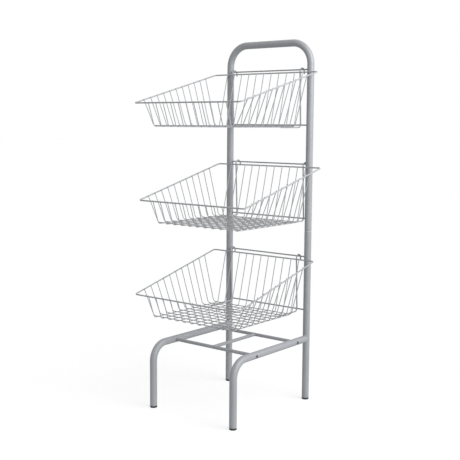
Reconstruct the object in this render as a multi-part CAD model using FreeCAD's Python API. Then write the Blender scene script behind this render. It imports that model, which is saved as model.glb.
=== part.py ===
import FreeCAD, Part
import math
import os

from FreeCAD import Vector

os.makedirs("parts", exist_ok=True)

# A shop stand: two rear uprights of bent tube, two front legs, and three wire baskets that hook onto rods
# between the uprights. +Z is up, the front faces -Y, and the origin lies on the floor under the middle of
# the stand. All sizes are in millimetres.

# Tubes of the stand
tube_diameter = 25.0
tube_wall = 1.5
post_spacing = 355.0
leg_depth = 420.0
rail_height = 223.5
hoop_bend_radius = 76.0
leg_bend_radius = 58.0
weld_gap = 0.05

# Rods between the uprights, two for each basket, with the lowest basket this far clear of the side rails, and
# the hoop's top and seam above the rods
rod_diameter = 5.0
bottom_basket_clearance = 80.5
tier_pitch = 328.5
rest_rod_drop = 192.0
hoop_rise = 106.0
seam_rise = 96.0

# Sleeves inside the uprights at the seam
spigot_length = 90.0
spigot_wall = 1.5
spigot_clearance = 0.2

# Push-in feet
foot_height = 6.0
foot_edge = 1.5
foot_plug_length = 18.0
foot_plug_clearance = 0.2

# Frame between the side rails, and its bolts
crossbar_diameter = 12.0
front_crossbar_setback = 110.0
rear_crossbar_setback = 72.0
bolt_diameter = 5.0
bolt_head_diameter = 8.5
bolt_head_height = 3.0
bolt_head_bevel = 1.2
bolt_thread_reach = 14.0
bolt_hole_clearance = 0.25
bolt_thread_clearance = 0.05
bolt_tip_clearance = 2.0

# Basket wires
rim_wire = 5.0
mesh_wire = 3.0
hook_wire = 5.0
cross_wire_count = 11
long_wire_count = 11
wire_end_overrun = 1.5

# Basket shape: the rim below the hook rod, and each wall's lean out from the floor
rim_depth = 428.0
rim_back_drop = 10.0
rim_front_drop = 121.0
rim_corner_radius = 10.0
floor_below_rest_rod = 4.0
side_wall_lean = 50.0
front_wall_lean = 32.0
back_wall_lean = 51.0
floor_bend_radius = 13.0
floor_bend_margin = 0.8

# Basket hooks, and the gap left beside an upright by the hook of the basket that has slid furthest
hook_loop_radius = 13.0
hook_tip_length = 7.0
hook_bend_radius = 12.0
hook_foot_length = 118.0
hook_rod_gap = 0.3
rest_rod_gap = 0.35
hook_post_gap = 1.5

# How far each basket, from the bottom up, has slid along its rods to the right. The top one stays nearer the
# middle, where its hooks clear the hoop's bends when it is lifted.
basket_slides = {"bottom": -11.0, "middle": 11.0, "top": -8.0}

# Flat sides of the tubes, bars, bolts and wires, and corners in a bend of the tubes and of each wire
tube_sides = 24
bar_sides = 16
rod_sides = 12
bolt_sides = 12
tube_bend_corners = 6
rim_sides = 8
mesh_sides = 6
hook_sides = 8
mesh_bend_corners = 3
rim_bend_corners = 3
hook_bend_corners = 3
hook_loop_corners = 6

axis_x = Vector(1, 0, 0)
axis_y = Vector(0, 1, 0)
axis_z = Vector(0, 0, 1)

tube_radius = tube_diameter / 2
bore_radius = tube_radius - tube_wall
rod_radius = rod_diameter / 2
half_spacing = post_spacing / 2

# Sizes of a basket, with y measured from the rods and drops measured down from the hook rod
rim_corner_reach = rim_wire / 2 / math.cos(math.pi / rim_sides)
rim_slope = math.atan2(rim_front_drop - rim_back_drop, rim_depth)
rim_to_mesh = rim_corner_reach / math.cos(rim_slope) + weld_gap + mesh_wire / 2
rim_back_y = -(hook_loop_radius + hook_wire / 2 + weld_gap + rim_corner_reach)
rim_front_y = rim_back_y - rim_depth
floor_front_y = rim_front_y + front_wall_lean
floor_back_y = rim_back_y - back_wall_lean
floor_drop = rest_rod_drop + floor_below_rest_rod
long_wire_drop = floor_drop + mesh_wire + weld_gap
hook_foot_drop = floor_drop + mesh_wire / 2 + weld_gap + hook_wire / 2
furthest_slide = max(abs(slide) for slide in basket_slides.values())
hook_x = half_spacing - tube_radius - hook_post_gap - hook_wire / 2 - furthest_slide

# Heights of the stand
bottom_hook_rod_height = rail_height + tube_radius + bottom_basket_clearance + hook_foot_drop + hook_wire / 2
top_hook_rod_height = bottom_hook_rod_height + (len(basket_slides) - 1) * tier_pitch
stand_height = top_hook_rod_height + hoop_rise
hoop_bar_height = stand_height - tube_radius
seam_height = bottom_hook_rod_height + seam_rise

# The posts stand so far back that the whole stand, baskets included, is centred on the origin
post_y = (rim_corner_reach - rim_front_y - hook_loop_radius - hook_wire / 2) / 2
leg_y = post_y - leg_depth
front_crossbar_y = leg_y + front_crossbar_setback
rear_crossbar_y = post_y - rear_crossbar_setback


def save(name, shape):
    shape.exportStep("parts/" + name + ".step")


def bend_points(corner, arriving, leaving, bend_radius, count):
    """Corners of a faceted bend whose short runs touch the arc of the bend radius from outside."""
    turn = arriving.getAngle(leaving)
    inward = (leaving - arriving).normalize()
    along = (arriving + leaving).normalize()
    centre = corner + inward * (bend_radius / math.cos(turn / 2))
    reach = bend_radius / math.cos(turn / count / 2)
    points = []
    for step in range(count):
        angle = turn * ((step + 0.5) / count - 0.5)
        points.append(centre - inward * (reach * math.cos(angle)) + along * (reach * math.sin(angle)))
    return points


def faceted_bar(points, plane_normal, diameter, sides):
    """A bar of flat sides, swept along straight runs in one plane with mitred corners. A path that ends where
    it starts makes a closed ring."""
    start = points[0]
    if points[0].isEqual(points[-1], weld_gap):
        start = (points[0] + points[1]) / 2
        points = [start] + points[1:] + [start]
    across = plane_normal.cross(points[1] - start).normalize()
    corner_reach = diameter / 2 / math.cos(math.pi / sides)
    section = []
    for corner in range(sides + 1):
        angle = 2 * math.pi * (corner + 0.5) / sides
        section.append(start + across * (corner_reach * math.cos(angle))
                       + plane_normal * (corner_reach * math.sin(angle)))
    return Part.makePolygon(points).makePipeShell([Part.makePolygon(section)], True, False, 1)


def faceted_turning(outline, sides):
    """A turned solid of flat sides about the Z axis. The outline is a list of radius and height."""
    rings = []
    for radius, height in outline:
        corner_reach = radius / math.cos(math.pi / sides)
        ring = []
        for corner in range(sides + 1):
            angle = 2 * math.pi * (corner + 0.5) / sides
            ring.append(Vector(corner_reach * math.cos(angle), corner_reach * math.sin(angle), height))
        rings.append(ring)
    faces = [Part.Face(Part.makePolygon(rings[0])), Part.Face(Part.makePolygon(rings[-1]))]
    for lower, upper in zip(rings, rings[1:]):
        for side in range(sides):
            corners = [lower[side], lower[side + 1], upper[side + 1], upper[side], lower[side]]
            faces.append(Part.Face(Part.makePolygon(corners)))
    return Part.Solid(Part.Shell(faces))


def tube_along(points, plane_normal, diameter, wall):
    outside = faceted_bar(points, plane_normal, diameter, tube_sides)
    inside = faceted_bar(points, plane_normal, diameter - 2 * wall, tube_sides)
    return outside.cut(inside)


def tube_path(points, bend_radius):
    """The points of a bent tube's centre line, with a bend of short runs at each corner."""
    path = points[:1]
    for before, corner, after in zip(points, points[1:], points[2:]):
        arriving = (corner - before).normalize()
        leaving = (after - corner).normalize()
        path += bend_points(corner, arriving, leaving, bend_radius, tube_bend_corners)
    return path + points[-1:]


def post_space(side):
    """The space that an upright takes up, with room for the weld seam."""
    foot = Vector(side * half_spacing, post_y, 0)
    return faceted_bar([foot, foot + axis_z * stand_height], axis_x, tube_diameter + 2 * weld_gap, tube_sides)


def rail_space(side):
    """The space that a side rail takes up, with room for the weld seam."""
    front = Vector(side * half_spacing, leg_y, rail_height)
    return faceted_bar([front, front + axis_y * leg_depth], axis_x, tube_diameter + 2 * weld_gap, tube_sides)


def upper_hoop():
    corners = [
        Vector(-half_spacing, post_y, seam_height),
        Vector(-half_spacing, post_y, hoop_bar_height),
        Vector(half_spacing, post_y, hoop_bar_height),
        Vector(half_spacing, post_y, seam_height),
    ]
    return tube_along(tube_path(corners, hoop_bend_radius), axis_y, tube_diameter, tube_wall)


def lower_post(side):
    foot = Vector(side * half_spacing, post_y, foot_height)
    seam = Vector(side * half_spacing, post_y, seam_height)
    return tube_along([foot, seam], axis_x, tube_diameter, tube_wall)


def post_spigots():
    """A sleeve in each upright, half below the seam and half above it."""
    spigot_diameter = 2 * (bore_radius - spigot_clearance)
    half_length = axis_z * (spigot_length / 2)
    spigots = []
    for side in (-1, 1):
        seam = Vector(side * half_spacing, post_y, seam_height)
        ends = [seam - half_length, seam + half_length]
        spigots.append(tube_along(ends, axis_x, spigot_diameter, spigot_wall))
    return Part.makeCompound(spigots)


def front_leg(side):
    """Side rail and front leg in one bent tube, coped to the upright and drilled for the crossbar bolts."""
    x = side * half_spacing
    corners = [
        Vector(x, leg_y, foot_height),
        Vector(x, leg_y, rail_height),
        Vector(x, post_y, rail_height),
    ]
    leg = tube_along(tube_path(corners, leg_bend_radius), axis_x, tube_diameter, tube_wall)
    leg = leg.cut(post_space(side))
    hole_diameter = bolt_diameter + 2 * bolt_hole_clearance
    for y in (front_crossbar_y, rear_crossbar_y):
        hole = [Vector(x - tube_diameter, y, rail_height), Vector(x + tube_diameter, y, rail_height)]
        leg = leg.cut(faceted_bar(hole, axis_z, hole_diameter, bolt_sides))
    return leg


def crossbar(y):
    """A bar from rail to rail, its ends coped to the rails and tapped for the bolts."""
    left_end = Vector(-half_spacing, y, rail_height)
    right_end = Vector(half_spacing, y, rail_height)
    bar = faceted_bar([left_end, right_end], axis_z, crossbar_diameter, bar_sides)
    thread_diameter = bolt_diameter + 2 * bolt_thread_clearance
    thread_depth = tube_radius + bolt_thread_reach + bolt_tip_clearance
    for side in (-1, 1):
        mouth = Vector(side * half_spacing, y, rail_height)
        thread = [mouth, mouth - axis_x * (side * thread_depth)]
        bar = bar.cut(rail_space(side))
        bar = bar.cut(faceted_bar(thread, axis_z, thread_diameter, bolt_sides))
    return bar


def centre_bar():
    """The bar between the two crossbars, coped to both."""
    front_end = Vector(0, front_crossbar_y, rail_height)
    rear_end = Vector(0, rear_crossbar_y, rail_height)
    bar = faceted_bar([front_end, rear_end], axis_x, crossbar_diameter, bar_sides)
    half_width = axis_x * crossbar_diameter
    for end in (front_end, rear_end):
        crossbar_space = faceted_bar([end - half_width, end + half_width], axis_z,
                                     crossbar_diameter + 2 * weld_gap, bar_sides)
        bar = bar.cut(crossbar_space)
    return bar


def crossbar_bolt(side, y):
    """A bolt with a bevelled head, drawn upright with its head's seat at zero and then laid along X."""
    shank_radius = bolt_diameter / 2
    shank_tip = -(tube_diameter + bolt_thread_reach)
    head_radius = bolt_head_diameter / 2
    outline = [
        (shank_radius, shank_tip),
        (shank_radius, 0),
        (head_radius, 0),
        (head_radius, bolt_head_height - bolt_head_bevel),
        (head_radius - bolt_head_bevel, bolt_head_height),
    ]
    bolt = faceted_turning(outline, bolt_sides)
    bolt.rotate(Vector(0, 0, 0), axis_y, 90 * side)
    bolt.translate(Vector(side * (half_spacing + tube_radius), y, rail_height))
    return bolt


def crossbar_bolts():
    bolts = []
    for side in (-1, 1):
        for y in (front_crossbar_y, rear_crossbar_y):
            bolts.append(crossbar_bolt(side, y))
    return Part.makeCompound(bolts)


def foot_cap(x, y):
    """A push-in plug with a base as wide as the tube."""
    plug_radius = bore_radius - foot_plug_clearance
    plug_top = foot_height + foot_plug_length
    outline = [
        (tube_radius - foot_edge, 0),
        (tube_radius, foot_edge),
        (tube_radius, foot_height),
        (plug_radius, foot_height),
        (plug_radius, plug_top),
    ]
    cap = faceted_turning(outline, tube_sides)
    cap.translate(Vector(x, y, 0))
    return cap


def feet():
    caps = []
    for side in (-1, 1):
        for y in (leg_y, post_y):
            caps.append(foot_cap(side * half_spacing, y))
    return Part.makeCompound(caps)


def rod(height):
    """A straight rod from upright to upright, its ends coped to the tubes."""
    left_end = Vector(-half_spacing, post_y, height)
    right_end = Vector(half_spacing, post_y, height)
    bar = faceted_bar([left_end, right_end], axis_z, rod_diameter, rod_sides)
    for side in (-1, 1):
        bar = bar.cut(post_space(side))
    return bar


def rim_drop(y):
    """How far the rim's centre line lies below the hook rod, at a place y from the rods."""
    return rim_back_drop + (rim_back_y - y) * math.tan(rim_slope)


def wall_run(lean, rise):
    """A wire's straight run up a basket wall, past the inner side of a rim that lies this far out from the
    floor's corner and this high above it: its angle above the floor, and its length."""
    distance = math.hypot(lean, rise)
    angle = math.atan2(rise, lean) + math.asin(rim_to_mesh / distance)
    length = math.sqrt(distance ** 2 - rim_to_mesh ** 2) + wire_end_overrun
    return angle, length


def bend_setback(angle):
    """How far a floor bend reaches along the floor from the corner, for a wall at this angle."""
    return floor_bend_radius * math.tan(angle / 2) + floor_bend_margin


def spread(first, last, count):
    return [first + (last - first) * index / (count - 1) for index in range(count)]


# The long wires keep the hooks midway between the outer two of them on each side, and the floor's corners lie
# just outside the long wires. The cross wires fill the flat stretch of the long wires.
front_angle, front_length = wall_run(front_wall_lean, long_wire_drop - rim_front_drop)
back_angle, back_length = wall_run(back_wall_lean, long_wire_drop - rim_back_drop)
steepest_angle, _ = wall_run(side_wall_lean, floor_drop - rim_drop(floor_back_y))
long_wire_reach = hook_x * (long_wire_count - 1) / (long_wire_count - 2)
floor_half = long_wire_reach + bend_setback(steepest_angle)
rim_half = floor_half + side_wall_lean
first_cross_wire_y = floor_front_y + bend_setback(front_angle)
last_cross_wire_y = floor_back_y - bend_setback(back_angle)


def basket_rim():
    """A closed ring in one sloping plane."""
    uphill = Vector(0, math.cos(rim_slope), math.sin(rim_slope))
    front_left = Vector(-rim_half, rim_front_y, -rim_front_drop)
    front_right = Vector(rim_half, rim_front_y, -rim_front_drop)
    back_right = Vector(rim_half, rim_back_y, -rim_back_drop)
    back_left = Vector(-rim_half, rim_back_y, -rim_back_drop)
    turns = [
        (front_right, axis_x, uphill),
        (back_right, uphill, -axis_x),
        (back_left, -axis_x, -uphill),
        (front_left, -uphill, axis_x),
    ]
    points = []
    for corner, arriving, leaving in turns:
        points += bend_points(corner, arriving, leaving, rim_corner_radius, rim_bend_corners)
    return faceted_bar(points[-1:] + points, axis_x.cross(uphill), rim_wire, rim_sides)


def cross_wire(y):
    """Side wall, floor, side wall, in a plane across the basket."""
    angle, length = wall_run(side_wall_lean, floor_drop - rim_drop(y))
    down_right = Vector(math.cos(angle), 0, -math.sin(angle))
    up_right = Vector(math.cos(angle), 0, math.sin(angle))
    left_corner = Vector(-floor_half, y, -floor_drop)
    right_corner = Vector(floor_half, y, -floor_drop)
    points = [left_corner - down_right * length]
    points += bend_points(left_corner, down_right, axis_x, floor_bend_radius, mesh_bend_corners)
    points += bend_points(right_corner, axis_x, up_right, floor_bend_radius, mesh_bend_corners)
    points.append(right_corner + up_right * length)
    return faceted_bar(points, axis_y, mesh_wire, mesh_sides)


def cross_wires():
    places = spread(first_cross_wire_y, last_cross_wire_y, cross_wire_count)
    return Part.makeCompound([cross_wire(y) for y in places])


def long_wire(x):
    """Front wall, floor, back wall, in a plane along the basket."""
    down_back = Vector(0, math.cos(front_angle), -math.sin(front_angle))
    up_back = Vector(0, math.cos(back_angle), math.sin(back_angle))
    front_corner = Vector(x, floor_front_y, -long_wire_drop)
    back_corner = Vector(x, floor_back_y, -long_wire_drop)
    points = [front_corner - down_back * front_length]
    points += bend_points(front_corner, down_back, axis_y, floor_bend_radius, mesh_bend_corners)
    points += bend_points(back_corner, axis_y, up_back, floor_bend_radius, mesh_bend_corners)
    points.append(back_corner + up_back * back_length)
    return faceted_bar(points, axis_x, mesh_wire, mesh_sides)


def long_wires():
    places = spread(-long_wire_reach, long_wire_reach, long_wire_count)
    return Part.makeCompound([long_wire(x) for x in places])


def basket_hook(x):
    """One wire: a tip behind the hook rod, a loop over it, a leg down in front of the rest rod, and a foot
    that runs forward under the floor."""
    loop_centre = Vector(x, 0, rod_radius + hook_rod_gap + hook_wire / 2 - hook_loop_radius)
    rest_point = Vector(x, -(rod_radius + rest_rod_gap + hook_wire / 2), -rest_rod_drop)
    sight = rest_point - loop_centre
    leg_angle = math.atan2(sight.z, sight.y) - math.acos(hook_loop_radius / sight.Length)
    loop_turn = leg_angle % (2 * math.pi)
    leg_start = loop_centre + Vector(0, math.cos(loop_turn), math.sin(loop_turn)) * hook_loop_radius
    leg_direction = (rest_point - leg_start).normalize()
    heel = leg_start + leg_direction * ((-hook_foot_drop - leg_start.z) / leg_direction.z)
    loop_reach = hook_loop_radius / math.cos(loop_turn / hook_loop_corners / 2)
    points = [loop_centre + Vector(0, hook_loop_radius, -hook_tip_length)]
    for step in range(hook_loop_corners):
        angle = loop_turn * (step + 0.5) / hook_loop_corners
        points.append(loop_centre + Vector(0, math.cos(angle), math.sin(angle)) * loop_reach)
    points += bend_points(heel, leg_direction, -axis_y, hook_bend_radius, hook_bend_corners)
    points.append(heel - axis_y * hook_foot_length)
    return faceted_bar(points, axis_x, hook_wire, hook_sides)


def save_basket(tier, place):
    pieces = {
        "rim": basket_rim(),
        "cross_wires": cross_wires(),
        "long_wires": long_wires(),
        "left_hook": basket_hook(-hook_x),
        "right_hook": basket_hook(hook_x),
    }
    for name, shape in pieces.items():
        shape.translate(place)
        save(tier + "_basket_" + name, shape)


save("upper_hoop", upper_hoop())
save("post_spigots", post_spigots())
save("feet", feet())
save("front_crossbar", crossbar(front_crossbar_y))
save("rear_crossbar", crossbar(rear_crossbar_y))
save("centre_bar", centre_bar())
save("crossbar_bolts", crossbar_bolts())
for side_name, side in (("left", -1), ("right", 1)):
    save(side_name + "_lower_post", lower_post(side))
    save(side_name + "_front_leg", front_leg(side))
for index, (tier, slide) in enumerate(basket_slides.items()):
    hook_rod_height = bottom_hook_rod_height + index * tier_pitch
    save(tier + "_hook_rod", rod(hook_rod_height))
    save(tier + "_rest_rod", rod(hook_rod_height - rest_rod_drop))
    save_basket(tier, Vector(slide, post_y, hook_rod_height))
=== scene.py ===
import math

import bmesh
import bpy
from mathutils import Matrix, Vector


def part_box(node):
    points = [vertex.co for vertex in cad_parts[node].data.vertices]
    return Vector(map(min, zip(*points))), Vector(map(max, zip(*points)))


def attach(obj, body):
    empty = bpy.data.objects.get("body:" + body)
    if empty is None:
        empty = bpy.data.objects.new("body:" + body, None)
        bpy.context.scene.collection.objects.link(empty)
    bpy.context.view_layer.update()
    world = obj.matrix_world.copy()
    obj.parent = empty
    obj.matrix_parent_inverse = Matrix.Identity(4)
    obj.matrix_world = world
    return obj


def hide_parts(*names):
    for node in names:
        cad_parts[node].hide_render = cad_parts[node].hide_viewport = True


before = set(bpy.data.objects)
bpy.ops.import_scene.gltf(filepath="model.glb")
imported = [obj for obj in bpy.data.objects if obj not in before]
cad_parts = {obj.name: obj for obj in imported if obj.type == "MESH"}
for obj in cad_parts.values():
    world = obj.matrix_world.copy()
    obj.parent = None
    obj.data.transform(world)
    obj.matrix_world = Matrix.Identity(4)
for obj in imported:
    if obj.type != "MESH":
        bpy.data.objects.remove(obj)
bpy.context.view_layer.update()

# A shop stand of silver-grey tube with three hanging wire baskets. Lengths are in metres, angles in radians.
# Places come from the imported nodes, and only bends, wire details and finishes are set here.

TIERS = ("bottom", "middle", "top")
SIDES = (("left", -1), ("right", 1))
X_AXIS = Vector((1, 0, 0))
Y_AXIS = Vector((0, 1, 0))
Z_AXIS = Vector((0, 0, 1))

# Tube bends and ends
hoop_bend_radius = 0.076
leg_bend_radius = 0.058
tube_edge = 0.001
tube_edge_run = 0.0022
cope_sink = 0.0003

# Seam of the uprights: painted shade as a dark line in its gap, and a painted highlight on the pale strip
# under it
seam_shade_reach = 0.0015
seam_shade_tint = 0.79
seam_highlight_height = 0.005
seam_highlight_tint = 1.27
seam_blend_share = 0.06

# Weld beads: how thick each is, and the ripples that run round it
post_weld_radius = 0.001
bar_weld_radius = 0.0012
rod_weld_radius = 0.0011
weld_ripple = 0.12
ripple_length = 0.0024
fewest_ripples = 8

# Feet and bolts
foot_edge = 0.0016
foot_groove_depth = 0.0004
foot_groove_height = 0.0008
bolt_head_radius = 0.0047
bolt_head_height = 0.003
bolt_rim_height = 0.001
bolt_head_sink = 0.0012
bolt_dome_turn = math.radians(58)
bolt_dome_steps = 6
bolt_socket_width = 0.0032
bolt_socket_depth = 0.0018

# Basket wires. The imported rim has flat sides.
rim_radius = 0.0025
packed_rim_sides = 8
mesh_radius = 0.0015
hook_radius = 0.0025
wire_count = 11
wire_end_overrun = 0.0015
rim_depth = 0.428
rim_corner_radius = 0.010
rim_back_drop = 0.010
rim_front_drop = 0.121
floor_below_rest_rod = 0.004
side_wall_lean = 0.050
front_wall_lean = 0.032
back_wall_lean = 0.051
floor_bend_radius = 0.013
floor_bend_margin = 0.0008
hook_loop_radius = 0.013
hook_tip_length = 0.007
hook_bend_radius = 0.012
hook_foot_length = 0.118
hook_rod_gap = 0.0003
rest_rod_gap = 0.00035
weld_gap = 0.00005
wire_end_edge = 0.0004
nugget_length = 0.0018
nugget_thickness = 0.0011

# Roundness of the pieces, and the angle from which an edge stays sharp
tube_sides = 48
bar_sides = 32
wire_sides = 16
tube_bend_steps = 24
wire_bend_steps = 10
loop_steps = 28
bead_sides = 10
steps_per_ripple = 4
foot_edge_steps = 6
bolt_sides = 24
nugget_sides = 8
nugget_rings = 5
tube_sharp_angle = math.radians(20)
wire_sharp_angle = math.radians(40)
weld_sharp_angle = math.radians(80)

# Camera, found by fitting the stand's corners to the photograph
camera_place = Vector((1.88635, -2.35703, 0.99006))
camera_azimuth = math.radians(38.71)
camera_dip = math.radians(6.97)
camera_roll = math.radians(0.37)
camera_focal_pixels = 875.77
photo_pixels = 460
sensor_width = 36.0

# Studio: the light that the floor gives back, its tone and glow to the eye, and the light on the stand
floor_half_width = 40.0
floor_bounce = 0.6
floor_tone = 0.35
floor_glow = 0.74
studio_level = 0.385
key_from = Vector((0.83, 0.04, 0.55))
key_strength = 2.0
key_softness = math.radians(70)
top_lamp_place = Vector((1.7, 0, 1.7))
top_lamp_aim = Vector((0, 0, 1.15))
top_lamp_power = 3.5
top_lamp_width = 0.9
top_lamp_spread = math.radians(85)


def middle(node):
    low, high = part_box(node)
    return (low + high) / 2


def spread(first, last, count):
    return [first + (last - first) * index / (count - 1) for index in range(count)]


post_low, post_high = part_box("right_lower_post")
post_x = middle("right_lower_post").x
post_y = middle("right_lower_post").y
tube_radius = (post_high.y - post_low.y) / 2
foot_height = post_low.z
seam_height = post_high.z
stand_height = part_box("upper_hoop")[1].z
leg_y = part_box("right_front_leg")[0].y + tube_radius
rail_height = middle("front_crossbar").z
bar_low, bar_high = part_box("front_crossbar")
bar_radius = (bar_high.z - bar_low.z) / 2
rod_low, rod_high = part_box("top_hook_rod")
rod_radius = (rod_high.z - rod_low.z) / 2
hook_x = (middle("top_basket_right_hook").x - middle("top_basket_left_hook").x) / 2


def noise(nodes, links, place, scale, detail, roughness):
    node = nodes.new("ShaderNodeTexNoise")
    node.inputs["Scale"].default_value = scale
    node.inputs["Detail"].default_value = detail
    node.inputs["Roughness"].default_value = roughness
    links.new(place, node.inputs["Vector"])
    return node.outputs["Fac"]


def ramp(nodes, links, source, stops):
    """Turns a number into colours, from stops of a position and a colour."""
    node = nodes.new("ShaderNodeValToRGB")
    elements = node.color_ramp.elements
    while len(elements) < len(stops):
        elements.new(0.5)
    for element, (position, colour) in zip(elements, stops):
        element.position = position
        element.color = (*colour, 1)
    links.new(source, node.inputs["Fac"])
    return node.outputs["Color"]


def grey(value):
    return (value, value, value)


def multiply_colours(nodes, links, first, second):
    node = nodes.new("ShaderNodeMix")
    node.data_type = "RGBA"
    node.blend_type = "MULTIPLY"
    node.inputs["Factor"].default_value = 1.0
    links.new(first, node.inputs["A"])
    links.new(second, node.inputs["B"])
    return node.outputs["Result"]


def new_material(name):
    """A material with a plain shader, and the object's own coordinates in metres."""
    material = bpy.data.materials.new(name)
    material.use_nodes = True
    nodes = material.node_tree.nodes
    links = material.node_tree.links
    shader = nodes["Principled BSDF"]
    place = nodes.new("ShaderNodeTexCoord").outputs["Object"]
    return material, nodes, links, shader, place


def add_bump(nodes, links, shader, height, strength, distance):
    bump = nodes.new("ShaderNodeBump")
    bump.inputs["Strength"].default_value = strength
    bump.inputs["Distance"].default_value = distance
    links.new(height, bump.inputs["Height"])
    links.new(bump.outputs["Normal"], shader.inputs["Normal"])


def seam_shade_and_highlight(nodes, links, place):
    """White but for the uprights' seam, which has painted shade as a dark line in its gap and a painted
    highlight on a pale strip under it.
    """
    split = nodes.new("ShaderNodeSeparateXYZ")
    links.new(place, split.inputs["Vector"])
    level = nodes.new("ShaderNodeMapRange")
    level.inputs["From Min"].default_value = seam_height - seam_highlight_height
    level.inputs["From Max"].default_value = seam_height + seam_shade_reach
    links.new(split.outputs["Z"], level.inputs["Value"])
    shade_start = (seam_highlight_height - seam_shade_reach) / (seam_highlight_height + seam_shade_reach)
    white = grey(1.0)
    painted_seam_light = grey(seam_highlight_tint)
    gap_shade = grey(seam_shade_tint)
    # The stops paint a highlight on the strip under the seam and shade in the seam's gap.
    stops = [(0.0, white), (seam_blend_share, painted_seam_light), (shade_start - seam_blend_share, painted_seam_light),
             (shade_start, gap_shade), (1.0 - seam_blend_share, gap_shade), (1.0, white)]
    return ramp(nodes, links, level.outputs["Result"], stops)


def powder_coat():
    """Silver-grey coat with fine speckle, a soft orange peel, faint cloudiness, and painted shade and a
    painted highlight at the seam.
    """
    material, nodes, links, shader, place = new_material("silver_powder_coat")
    dark_fleck = (0.337, 0.35, 0.371)
    silver_grey = (0.383, 0.395, 0.418)
    pale_fleck = (0.453, 0.467, 0.492)
    speckle = noise(nodes, links, place, scale=900, detail=3, roughness=0.6)
    cloud = noise(nodes, links, place, scale=14, detail=3, roughness=0.5)
    peel = noise(nodes, links, place, scale=650, detail=2, roughness=0.5)
    flecks = ramp(nodes, links, speckle, [(0.3, dark_fleck), (0.5, silver_grey), (0.7, pale_fleck)])
    clouds = ramp(nodes, links, cloud, [(0.3, grey(0.94)), (0.7, grey(1.0))])
    coat_colour = multiply_colours(nodes, links, flecks, clouds)
    # The seam's dark line is painted shade, and its pale strip is a painted highlight.
    painted_seam_light = multiply_colours(nodes, links, coat_colour, seam_shade_and_highlight(nodes, links, place))
    links.new(painted_seam_light, shader.inputs["Base Color"])
    gloss = ramp(nodes, links, speckle, [(0.3, grey(0.52)), (0.7, grey(0.42))])
    links.new(gloss, shader.inputs["Roughness"])
    shader.inputs["Metallic"].default_value = 0.1
    shader.inputs["Specular IOR Level"].default_value = 0.4
    add_bump(nodes, links, shader, peel, strength=0.25, distance=0.0002)
    return material


def zinc_wire(name, light, dark, smooth, rough):
    """Dull zinc plating with a faint grain and paler patches."""
    material, nodes, links, shader, place = new_material(name)
    patches = noise(nodes, links, place, scale=120, detail=4, roughness=0.6)
    grain = noise(nodes, links, place, scale=1600, detail=2, roughness=0.5)
    tone = ramp(nodes, links, patches, [(0.3, dark), (0.7, light)])
    links.new(tone, shader.inputs["Base Color"])
    gloss = ramp(nodes, links, grain, [(0.3, grey(smooth)), (0.7, grey(rough))])
    links.new(gloss, shader.inputs["Roughness"])
    shader.inputs["Metallic"].default_value = 0.05
    shader.inputs["Specular IOR Level"].default_value = 0.06
    add_bump(nodes, links, shader, grain, strength=0.2, distance=0.0001)
    return material


def black_plastic():
    """Moulded plastic with a fine grain and pale scuffs."""
    material, nodes, links, shader, place = new_material("black_foot_plastic")
    grain = noise(nodes, links, place, scale=1400, detail=3, roughness=0.6)
    scuff = noise(nodes, links, place, scale=160, detail=5, roughness=0.7)
    tone = ramp(nodes, links, scuff, [(0.45, grey(0.012)), (0.62, grey(0.02)), (0.8, grey(0.06))])
    links.new(tone, shader.inputs["Base Color"])
    gloss = ramp(nodes, links, scuff, [(0.3, grey(0.45)), (0.7, grey(0.65))])
    links.new(gloss, shader.inputs["Roughness"])
    add_bump(nodes, links, shader, grain, strength=0.3, distance=0.0001)
    return material


def dark_steel():
    """Dark zinc on the bolts, with rubbed spots."""
    material, nodes, links, shader, place = new_material("dark_bolt_zinc")
    rub = noise(nodes, links, place, scale=700, detail=4, roughness=0.6)
    tone = ramp(nodes, links, rub, [(0.35, (0.08, 0.08, 0.084)), (0.75, (0.2, 0.2, 0.206))])
    links.new(tone, shader.inputs["Base Color"])
    gloss = ramp(nodes, links, rub, [(0.3, grey(0.3)), (0.7, grey(0.48))])
    links.new(gloss, shader.inputs["Roughness"])
    shader.inputs["Metallic"].default_value = 0.85
    add_bump(nodes, links, shader, rub, strength=0.2, distance=0.0001)
    return material


coat = powder_coat()
wire = zinc_wire("zinc_wire", light=(0.5, 0.511, 0.53), dark=(0.405, 0.416, 0.435),
                 smooth=0.4, rough=0.52)
weld_zinc = zinc_wire("zinc_weld", light=(0.396, 0.405, 0.418), dark=(0.316, 0.325, 0.338),
                      smooth=0.45, rough=0.6)
plastic = black_plastic()
bolt_metal = dark_steel()


def add_piece(name, mesh, material, body, replaced=()):
    mesh.materials.append(material)
    piece = bpy.data.objects.new(name, mesh)
    bpy.context.scene.collection.objects.link(piece)
    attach(piece, body)
    if replaced:
        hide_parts(*replaced)
    return piece


def finished_mesh(name, shape, sharp_angle=wire_sharp_angle):
    """A mesh from a bmesh, with its faces smooth but for sharp edges and turned outward."""
    bmesh.ops.recalc_face_normals(shape, faces=shape.faces)
    mesh = bpy.data.meshes.new(name)
    shape.to_mesh(mesh)
    shape.free()
    mesh.shade_smooth()
    mesh.set_sharp_from_angle(angle=sharp_angle)
    return mesh


def arc_points(before, corner, after, radius, steps):
    """The arc that rounds a path's corner."""
    arriving = (corner - before).normalized()
    leaving = (after - corner).normalized()
    turn = arriving.angle(leaving)
    inward = (leaving - arriving).normalized()
    along = (arriving + leaving).normalized()
    centre = corner + inward * (radius / math.cos(turn / 2))
    angles = spread(-turn / 2, turn / 2, steps + 1)
    return [centre - inward * (radius * math.cos(a)) + along * (radius * math.sin(a)) for a in angles]


def rounded_path(corners, radius, steps):
    path = corners[:1]
    for before, corner, after in zip(corners, corners[1:], corners[2:]):
        path += arc_points(before, corner, after, radius, steps)
    return path + corners[-1:]


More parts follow.
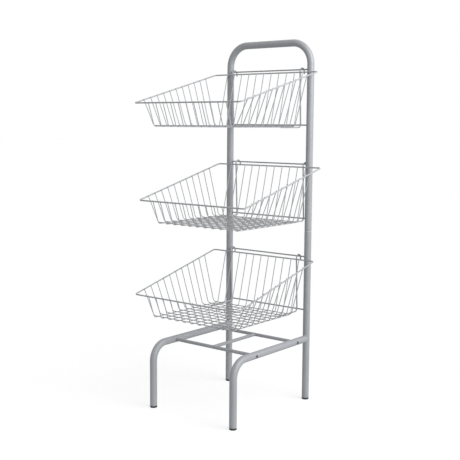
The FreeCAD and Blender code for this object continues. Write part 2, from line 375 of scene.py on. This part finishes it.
def ring_of(shape, centre, direction, plane_normal, radius, sides):
    """A ring of vertices round a point of a path that lies in a plane."""
    across = plane_normal.cross(direction).normalized()
    ring = []
    for index in range(sides):
        angle = 2 * math.pi * index / sides
        ring.append(shape.verts.new(centre + across * (radius * math.cos(angle))
                                    + plane_normal * (radius * math.sin(angle))))
    return ring


def bridge(shape, first, second):
    count = len(first)
    for index in range(count):
        following = (index + 1) % count
        shape.faces.new((first[index], first[following], second[following], second[index]))


def path_directions(path, closed):
    directions = []
    last = len(path) - 1
    for index in range(len(path)):
        before = path[index - 1] if index > 0 or closed else path[0]
        after = path[(index + 1) % len(path)] if index < last or closed else path[last]
        directions.append((after - before).normalized())
    return directions


def sweep(shape, path, plane_normal, radius, sides, edge=0.0, edge_run=0.0, closed=False, copes=(None, None)):
    """A round bar along a path in one plane, closed or with bevelled or coped ends.

    A bevel is edge deep and edge_run long. A cope is the axis and radius of the round bar that the end meets,
    and the path then ends on that bar's axis."""
    directions = path_directions(path, closed)
    rings = []

    def add_ring(point, direction, size):
        rings.append(ring_of(shape, point, direction, plane_normal, size, sides))

    last = len(path) - 1
    for index, (point, direction) in enumerate(zip(path, directions)):
        if edge and index == 0 and not copes[0]:
            add_ring(point, direction, radius - edge)
            add_ring(point + direction * edge_run, direction, radius)
        elif edge and index == last and not copes[1]:
            add_ring(point - direction * edge_run, direction, radius)
            add_ring(point, direction, radius - edge)
        else:
            add_ring(point, direction, radius)
    if copes[0]:
        cope_ring(rings[0], path[0], directions[0], *copes[0])
    if copes[1]:
        cope_ring(rings[-1], path[-1], -directions[-1], *copes[1])
    for first, second in zip(rings, rings[1:]):
        bridge(shape, first, second)
    if closed:
        bridge(shape, rings[-1], rings[0])
    else:
        shape.faces.new(rings[0])
        shape.faces.new(rings[-1])


def cope_ring(ring, centre, inward, axis, radius):
    """Moves an end ring along its bar onto the surface of the round bar that it meets."""
    sideways = axis.cross(inward).normalized()
    for vertex in ring:
        offset = (vertex.co - centre).dot(sideways)
        reach = math.sqrt(max(0.0, (radius - cope_sink) ** 2 - offset ** 2))
        vertex.co += inward * reach


def straight_bar(start, end, plane_normal, radius, sides, copes=(None, None)):
    shape = bmesh.new()
    sweep(shape, [start, end], plane_normal, radius, sides, copes=copes)
    return shape


def weld_bead(shape, centre, inward, axis, tube_size, bar_size, bead):
    """A rippled bead round the end of a bar, where it meets a round tube. Centre lies on the tube's axis."""
    sideways = axis.cross(inward).normalized()
    upward = inward.cross(sideways)
    length = 2 * math.pi * bar_size
    ripples = max(fewest_ripples, round(length / ripple_length))
    steps = ripples * steps_per_ripple
    rings = []
    for step in range(steps):
        angle = 2 * math.pi * step / steps
        outward = sideways * math.cos(angle) + upward * math.sin(angle)
        offset = min(bar_size * math.cos(angle), tube_size)
        reach = math.sqrt(max(0.0, tube_size ** 2 - offset ** 2))
        point = centre + outward * bar_size + inward * reach
        size = bead * (1 + weld_ripple * math.sin(2 * math.pi * ripples * step / steps))
        ring = []
        for index in range(bead_sides):
            turn = 2 * math.pi * index / bead_sides
            offset_on_bead = outward * (size * math.cos(turn)) + inward * (size * math.sin(turn))
            ring.append(shape.verts.new(point + offset_on_bead))
        rings.append(ring)
    for first, second in zip(rings, rings[1:] + rings[:1]):
        bridge(shape, first, second)


def add_tube(name, node, path, plane_normal, copes=(None, None)):
    """A round tube with rounded or coped ends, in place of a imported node."""
    shape = bmesh.new()
    sweep(shape, path, plane_normal, tube_radius, tube_sides, edge=tube_edge, edge_run=tube_edge_run,
          copes=copes)
    mesh = finished_mesh(name, shape, tube_sharp_angle)
    add_piece(node + "_tube", mesh, coat, "stand", [node])


def build_tubes():
    for name, side in SIDES:
        x = side * post_x
        post_path = [Vector((x, post_y, foot_height)), Vector((x, post_y, seam_height))]
        add_tube(name + "_post", name + "_lower_post", post_path, X_AXIS)
        leg_corners = [
            Vector((x, leg_y, foot_height)),
            Vector((x, leg_y, rail_height)),
            Vector((x, post_y, rail_height)),
        ]
        leg_path = rounded_path(leg_corners, leg_bend_radius, tube_bend_steps)
        add_tube(name + "_leg", name + "_front_leg", leg_path, X_AXIS, copes=(None, (Z_AXIS, tube_radius)))
    top = stand_height - tube_radius
    hoop_corners = [
        Vector((-post_x, post_y, seam_height)),
        Vector((-post_x, post_y, top)),
        Vector((post_x, post_y, top)),
        Vector((post_x, post_y, seam_height)),
    ]
    hoop_path = rounded_path(hoop_corners, hoop_bend_radius, tube_bend_steps)
    add_tube("upper_hoop", "upper_hoop", hoop_path, Y_AXIS)


def build_bars():
    rail_cope = (Y_AXIS, tube_radius)
    for name in ("front_crossbar", "rear_crossbar"):
        y = middle(name).y
        bar = straight_bar(Vector((-post_x, y, rail_height)), Vector((post_x, y, rail_height)), Z_AXIS,
                           bar_radius, bar_sides, copes=(rail_cope, rail_cope))
        add_piece(name + "_bar", finished_mesh(name, bar), coat, "stand", [name])
    front_y = middle("front_crossbar").y
    rear_y = middle("rear_crossbar").y
    cross_cope = (X_AXIS, bar_radius)
    bar = straight_bar(Vector((0, front_y, rail_height)), Vector((0, rear_y, rail_height)), X_AXIS,
                       bar_radius, bar_sides, copes=(cross_cope, cross_cope))
    mesh = finished_mesh("centre_bar", bar)
    add_piece("centre_bar_round", mesh, coat, "stand", ["centre_bar"])
    post_cope = (Z_AXIS, tube_radius)
    for tier in TIERS:
        for kind in ("_hook_rod", "_rest_rod"):
            z = middle(tier + kind).z
            rod = straight_bar(Vector((-post_x, post_y, z)), Vector((post_x, post_y, z)), Z_AXIS, rod_radius,
                               bar_sides, copes=(post_cope, post_cope))
            add_piece(tier + kind + "_bar", finished_mesh(tier + kind, rod), coat, "stand",
                      [tier + kind])


def build_welds():
    beads = bmesh.new()
    for _, side in SIDES:
        post = Vector((side * post_x, post_y, 0))
        rail_end = post + Z_AXIS * rail_height
        weld_bead(beads, rail_end, -Y_AXIS, Z_AXIS, tube_radius, tube_radius, post_weld_radius)
        for tier in TIERS:
            for kind in ("_hook_rod", "_rest_rod"):
                rod_end = post + Z_AXIS * middle(tier + kind).z
                weld_bead(beads, rod_end, -X_AXIS * side, Z_AXIS, tube_radius, rod_radius, rod_weld_radius)
    for name, direction in (("front_crossbar", Y_AXIS), ("rear_crossbar", -Y_AXIS)):
        centre = Vector((0, middle(name).y, rail_height))
        weld_bead(beads, centre, direction, X_AXIS, bar_radius, bar_radius, bar_weld_radius)
    mesh = finished_mesh("stand_welds", beads, weld_sharp_angle)
    add_piece("stand_weld_beads", mesh, coat, "stand")


def lathe(shape, profile, base, sides):
    """A closed turned form about a vertical line through base. The profile runs from axis to axis."""
    rings = []
    for radius, height in profile:
        centre = base + Z_AXIS * height
        if radius:
            rings.append(ring_of(shape, centre, Z_AXIS, Y_AXIS, radius, sides))
        else:
            rings.append([shape.verts.new(centre)])
    for first, second in zip(rings, rings[1:]):
        if len(first) == 1 or len(second) == 1:
            tip, ring = (first[0], second) if len(first) == 1 else (second[0], first)
            for index in range(sides):
                shape.faces.new((tip, ring[index], ring[(index + 1) % sides]))
        else:
            bridge(shape, first, second)


def build_feet():
    """Round-edged caps, with a shallow groove under the tube's end."""
    shape = bmesh.new()
    rounding = [(tube_radius - foot_edge + foot_edge * math.sin(a), foot_edge - foot_edge * math.cos(a))
                for a in spread(0, math.pi / 2, foot_edge_steps)]
    groove_radius = tube_radius - foot_groove_depth
    groove_base = foot_height - foot_groove_height
    profile = [(0, 0)] + rounding + [
        (tube_radius, groove_base - foot_groove_depth),
        (groove_radius, groove_base),
        (groove_radius, foot_height),
        (0, foot_height),
    ]
    for _, side in SIDES:
        for y in (leg_y, post_y):
            lathe(shape, profile, Vector((side * post_x, y, 0)), tube_sides)
    add_piece("foot_caps", finished_mesh("feet", shape), plastic, "stand", ["feet"])


def bolt_head(shape, side, y):
    """A domed head with a six-sided socket, lying on the outer side of a rail."""
    seat = Vector((side * (post_x + tube_radius), y, rail_height))
    outward = X_AXIS * side
    sixth_turn = math.pi / 3

    def ring(reach, height):
        points = []
        for index in range(bolt_sides):
            angle = 2 * math.pi * index / bolt_sides
            radius = reach(angle) if callable(reach) else reach
            across = Y_AXIS * (radius * math.cos(angle)) + Z_AXIS * (radius * math.sin(angle))
            points.append(shape.verts.new(seat + outward * height + across))
        return points

    def hexagon(angle):
        nearest = sixth_turn * round(angle / sixth_turn)
        return bolt_socket_width / 2 / math.cos(angle - nearest)

    dome_rise = bolt_head_height - bolt_rim_height
    dome = [(bolt_head_radius * math.cos(a), bolt_rim_height + dome_rise * math.sin(a))
            for a in spread(0, bolt_dome_turn, bolt_dome_steps)]
    rings = [ring(bolt_head_radius, -bolt_head_sink)] + [ring(r, h) for r, h in dome]
    socket_top = dome[-1][1]
    rings.append(ring(hexagon, socket_top))
    rings.append(ring(hexagon, socket_top - bolt_socket_depth))
    for first, second in zip(rings, rings[1:]):
        bridge(shape, first, second)
    shape.faces.new(rings[0])
    shape.faces.new(rings[-1])


def build_bolts():
    shape = bmesh.new()
    for _, side in SIDES:
        for name in ("front_crossbar", "rear_crossbar"):
            bolt_head(shape, side, middle(name).y)
    mesh = finished_mesh("bolts", shape)
    add_piece("bolt_heads", mesh, bolt_metal, "stand", ["crossbar_bolts"])


# Places within a basket, measured from the middle of its hook rod
rim_box_reach = rim_radius / math.cos(math.pi / packed_rim_sides)
rim_to_mesh = rim_radius + weld_gap + mesh_radius
rim_back_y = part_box("top_basket_rim")[0].y + rim_depth + rim_box_reach - post_y
rim_front_y = rim_back_y - rim_depth
floor_front_y = rim_front_y + front_wall_lean
floor_back_y = rim_back_y - back_wall_lean
floor_drop = middle("top_hook_rod").z - middle("top_rest_rod").z + floor_below_rest_rod
rest_rod_drop = floor_drop - floor_below_rest_rod
long_wire_drop = floor_drop + 2 * mesh_radius + weld_gap
hook_foot_drop = floor_drop + mesh_radius + weld_gap + hook_radius
rim_slope = math.atan2(rim_front_drop - rim_back_drop, rim_depth)


def rim_drop(y):
    return rim_back_drop + (rim_back_y - y) * math.tan(rim_slope)


def wall_run(lean, rise):
    """The angle above the floor and the length of a wire's run up a wall, past the rim's inner side."""
    distance = math.hypot(lean, rise)
    angle = math.atan2(rise, lean) + math.asin(rim_to_mesh / distance)
    length = math.sqrt(distance ** 2 - rim_to_mesh ** 2) + wire_end_overrun
    return angle, length


def bend_setback(angle):
    return floor_bend_radius * math.tan(angle / 2) + floor_bend_margin


front_angle, front_length = wall_run(front_wall_lean, long_wire_drop - rim_front_drop)
back_angle, back_length = wall_run(back_wall_lean, long_wire_drop - rim_back_drop)
steepest_angle, _ = wall_run(side_wall_lean, floor_drop - rim_drop(floor_back_y))
long_wire_reach = hook_x * (wire_count - 1) / (wire_count - 2)
floor_half = long_wire_reach + bend_setback(steepest_angle)
rim_half = floor_half + side_wall_lean
hook_toe_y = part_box("top_basket_left_hook")[0].y - post_y
first_cross_y = floor_front_y + bend_setback(front_angle)
last_cross_y = floor_back_y - bend_setback(back_angle)
cross_places = spread(first_cross_y, last_cross_y, wire_count)
long_places = spread(-long_wire_reach, long_wire_reach, wire_count)


def rim_shape(place):
    front_left = Vector((-rim_half, rim_front_y, -rim_front_drop))
    front_right = Vector((rim_half, rim_front_y, -rim_front_drop))
    back_right = Vector((rim_half, rim_back_y, -rim_back_drop))
    back_left = Vector((-rim_half, rim_back_y, -rim_back_drop))
    corners = [front_left, front_right, back_right, back_left]
    path = []
    for index, corner in enumerate(corners):
        following = corners[(index + 1) % len(corners)]
        path += arc_points(corners[index - 1], corner, following, rim_corner_radius, wire_bend_steps)
    uphill = (back_right - front_right).normalized()
    shape = bmesh.new()
    sweep(shape, [place + point for point in path], X_AXIS.cross(uphill), rim_radius, wire_sides, closed=True)
    return shape


def cross_path(y):
    angle, length = wall_run(side_wall_lean, floor_drop - rim_drop(y))
    rise = Vector((0, 0, length * math.sin(angle)))
    run = X_AXIS * (length * math.cos(angle))
    left = Vector((-floor_half, y, -floor_drop))
    right = Vector((floor_half, y, -floor_drop))
    corners = [left - run + rise, left, right, right + run + rise]
    return rounded_path(corners, floor_bend_radius, wire_bend_steps)


def long_path(x):
    front = Vector((x, floor_front_y, -long_wire_drop))
    back = Vector((x, floor_back_y, -long_wire_drop))
    front_end = front + Vector((0, -math.cos(front_angle), math.sin(front_angle))) * front_length
    back_end = back + Vector((0, math.cos(back_angle), math.sin(back_angle))) * back_length
    return rounded_path([front_end, front, back, back_end], floor_bend_radius, wire_bend_steps)


def hook_path(x):
    loop_centre = Vector((x, 0, rod_radius + hook_rod_gap + hook_radius - hook_loop_radius))
    rest_point = Vector((x, -(rod_radius + rest_rod_gap + hook_radius), -rest_rod_drop))
    sight = rest_point - loop_centre
    loop_turn = (math.atan2(sight.z, sight.y) - math.acos(hook_loop_radius / sight.length)) % (2 * math.pi)
    path = [loop_centre + Vector((0, hook_loop_radius, -hook_tip_length))]
    for angle in spread(0, loop_turn, loop_steps):
        path.append(loop_centre + Vector((0, math.cos(angle), math.sin(angle))) * hook_loop_radius)
    leg_start = path[-1]
    leg_direction = (rest_point - leg_start).normalized()
    heel = leg_start + leg_direction * ((-hook_foot_drop - leg_start.z) / leg_direction.z)
    toe = heel - Y_AXIS * hook_foot_length
    return path + arc_points(leg_start, heel, toe, hook_bend_radius, wire_bend_steps) + [toe]


def swept_wires(place, paths, plane_normal, radius):
    shape = bmesh.new()
    for path in paths:
        sweep(shape, [place + point for point in path], plane_normal, radius, wire_sides, edge=wire_end_edge,
              edge_run=wire_end_edge)
    return shape


def nugget(shape, centre, length, thickness):
    """The squeezed bit of metal between two wires that are spot-welded."""
    rounds = [(length * math.sin(a), -thickness * math.cos(a)) for a in spread(0, math.pi, nugget_rings + 2)]
    lathe(shape, [(0, -thickness)] + rounds[1:-1] + [(0, thickness)], centre, nugget_sides)


def rim_touch(rim_point, outward, lean, rise):
    """Where a wall wire touches the rim, on the rim's inner side."""
    angle, _ = wall_run(lean, rise)
    across = outward * -math.sin(angle) + Z_AXIS * math.cos(angle)
    return rim_point + across * rim_radius


def basket_welds(place):
    shape = bmesh.new()
    for x in long_places:
        for y in cross_places:
            floor_touch = Vector((x, y, -(floor_drop + long_wire_drop) / 2))
            nugget(shape, place + floor_touch, nugget_length, nugget_thickness)
        front = rim_touch(Vector((x, rim_front_y, -rim_front_drop)), -Y_AXIS, front_wall_lean,
                          long_wire_drop - rim_front_drop)
        back = rim_touch(Vector((x, rim_back_y, -rim_back_drop)), Y_AXIS, back_wall_lean,
                         long_wire_drop - rim_back_drop)
        nugget(shape, place + front, nugget_length, nugget_length)
        nugget(shape, place + back, nugget_length, nugget_length)
    for _, side in SIDES:
        for y in cross_places:
            touch = rim_touch(Vector((side * rim_half, y, -rim_drop(y))), X_AXIS * side, side_wall_lean,
                              floor_drop - rim_drop(y))
            nugget(shape, place + touch, nugget_length, nugget_length)
            if y > hook_toe_y:
                foot_touch = Vector((side * hook_x, y, -(floor_drop + mesh_radius)))
                nugget(shape, place + foot_touch, nugget_length, nugget_thickness)
        leg_touch = Vector((side * hook_x, rim_back_y + rim_radius, -rim_back_drop))
        nugget(shape, place + leg_touch, nugget_length, nugget_length)
    return shape


def build_basket(tier):
    body = tier + "_basket"
    left = middle(body + "_left_hook").x
    right = middle(body + "_right_hook").x
    place = Vector(((left + right) / 2, post_y, middle(tier + "_hook_rod").z))
    pieces = (
        ("rim", rim_shape(place)),
        ("cross_wires", swept_wires(place, [cross_path(y) for y in cross_places], Y_AXIS, mesh_radius)),
        ("long_wires", swept_wires(place, [long_path(x) for x in long_places], X_AXIS, mesh_radius)),
        ("left_hook", swept_wires(place, [hook_path(-hook_x)], X_AXIS, hook_radius)),
        ("right_hook", swept_wires(place, [hook_path(hook_x)], X_AXIS, hook_radius)),
    )
    for name, shape in pieces:
        node = body + "_" + name
        add_piece(node + "_round", finished_mesh(node, shape), wire, body, [node])
    welds = finished_mesh(body + "_welds", basket_welds(place), weld_sharp_angle)
    add_piece(body + "_welds", welds, weld_zinc, body)


def dress_sleeves():
    """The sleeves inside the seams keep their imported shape, in plain dark metal."""
    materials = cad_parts["post_spigots"].data.materials
    materials.clear()
    materials.append(bolt_metal)


def seen_rays(nodes, links):
    """One where the camera, a mirror or clear glass looks, and zero for light that falls on the stand."""
    rays = nodes.new("ShaderNodeLightPath")
    seen = rays.outputs["Is Camera Ray"]
    for name in ("Is Glossy Ray", "Is Transmission Ray"):
        either = nodes.new("ShaderNodeMath")
        either.operation = "MAXIMUM"
        links.new(seen, either.inputs[0])
        links.new(rays.outputs[name], either.inputs[1])
        seen = either.outputs["Value"]
    return seen


def build_floor():
    """A wide pale floor that looks white and keeps the stand's shadow."""
    mesh = bpy.data.meshes.new("floor")
    half = floor_half_width
    corners = [(-half, -half, 0), (half, -half, 0), (half, half, 0), (-half, half, 0)]
    mesh.from_pydata(corners, [], [(0, 1, 2, 3)])
    floor = bpy.data.objects.new("floor", mesh)
    bpy.context.scene.collection.objects.link(floor)
    material = bpy.data.materials.new("pale_floor")
    material.use_nodes = True
    nodes = material.node_tree.nodes
    links = material.node_tree.links
    nodes.remove(nodes["Principled BSDF"])
    bounce = nodes.new("ShaderNodeBsdfDiffuse")
    bounce.inputs["Color"].default_value = (*grey(floor_bounce), 1)
    pale = nodes.new("ShaderNodeBsdfDiffuse")
    pale.inputs["Color"].default_value = (*grey(floor_tone), 1)
    glow = nodes.new("ShaderNodeEmission")
    glow.inputs["Strength"].default_value = floor_glow
    lifted = nodes.new("ShaderNodeAddShader")
    links.new(pale.outputs["BSDF"], lifted.inputs[0])
    links.new(glow.outputs["Emission"], lifted.inputs[1])
    mixed = nodes.new("ShaderNodeMixShader")
    links.new(seen_rays(nodes, links), mixed.inputs["Fac"])
    links.new(bounce.outputs["BSDF"], mixed.inputs[1])
    links.new(lifted.outputs["Shader"], mixed.inputs[2])
    links.new(mixed.outputs["Shader"], nodes["Material Output"].inputs["Surface"])
    mesh.materials.append(material)


def add_lamp(data, place, aim):
    lamp = bpy.data.objects.new(data.name, data)
    lamp.location = place
    lamp.rotation_mode = "QUATERNION"
    lamp.rotation_quaternion = (place - aim).to_track_quat("Z", "Y")
    lamp.visible_camera = False
    bpy.context.scene.collection.objects.link(lamp)


def build_light():
    """A white studio with a broad soft light from the right and a small lamp on the stand's upper half."""
    world = bpy.data.worlds.new("studio")
    world.use_nodes = True
    bpy.context.scene.world = world
    nodes = world.node_tree.nodes
    links = world.node_tree.links
    background = nodes["Background"]
    background.inputs["Color"].default_value = (1, 1, 1, 1)
    level = nodes.new("ShaderNodeMapRange")
    level.inputs["To Min"].default_value = studio_level
    level.inputs["To Max"].default_value = 1.0
    links.new(seen_rays(nodes, links), level.inputs["Value"])
    links.new(level.outputs["Result"], background.inputs["Strength"])
    key = bpy.data.lights.new("key_light", "SUN")
    key.energy = key_strength
    key.angle = key_softness
    add_lamp(key, key_from, Vector())
    top = bpy.data.lights.new("top_lamp", "AREA")
    top.shape = "DISK"
    top.size = top_lamp_width
    top.energy = top_lamp_power
    top.spread = top_lamp_spread
    add_lamp(top, top_lamp_place, top_lamp_aim)


def build_camera():
    data = bpy.data.cameras.new("camera")
    data.sensor_width = sensor_width
    data.lens = camera_focal_pixels / photo_pixels * sensor_width
    camera = bpy.data.objects.new("camera", data)
    turn = (Matrix.Rotation(camera_azimuth, 4, "Z") @ Matrix.Rotation(math.pi / 2 - camera_dip, 4, "X")
            @ Matrix.Rotation(camera_roll, 4, "Z"))
    camera.matrix_world = Matrix.Translation(camera_place) @ turn
    bpy.context.scene.collection.objects.link(camera)
    bpy.context.scene.camera = camera


build_tubes()
build_bars()
build_welds()
build_feet()
build_bolts()
for tier_name in TIERS:
    build_basket(tier_name)
dress_sleeves()
build_floor()
build_light()
build_camera()
bpy.context.scene.view_settings.view_transform = "Standard"
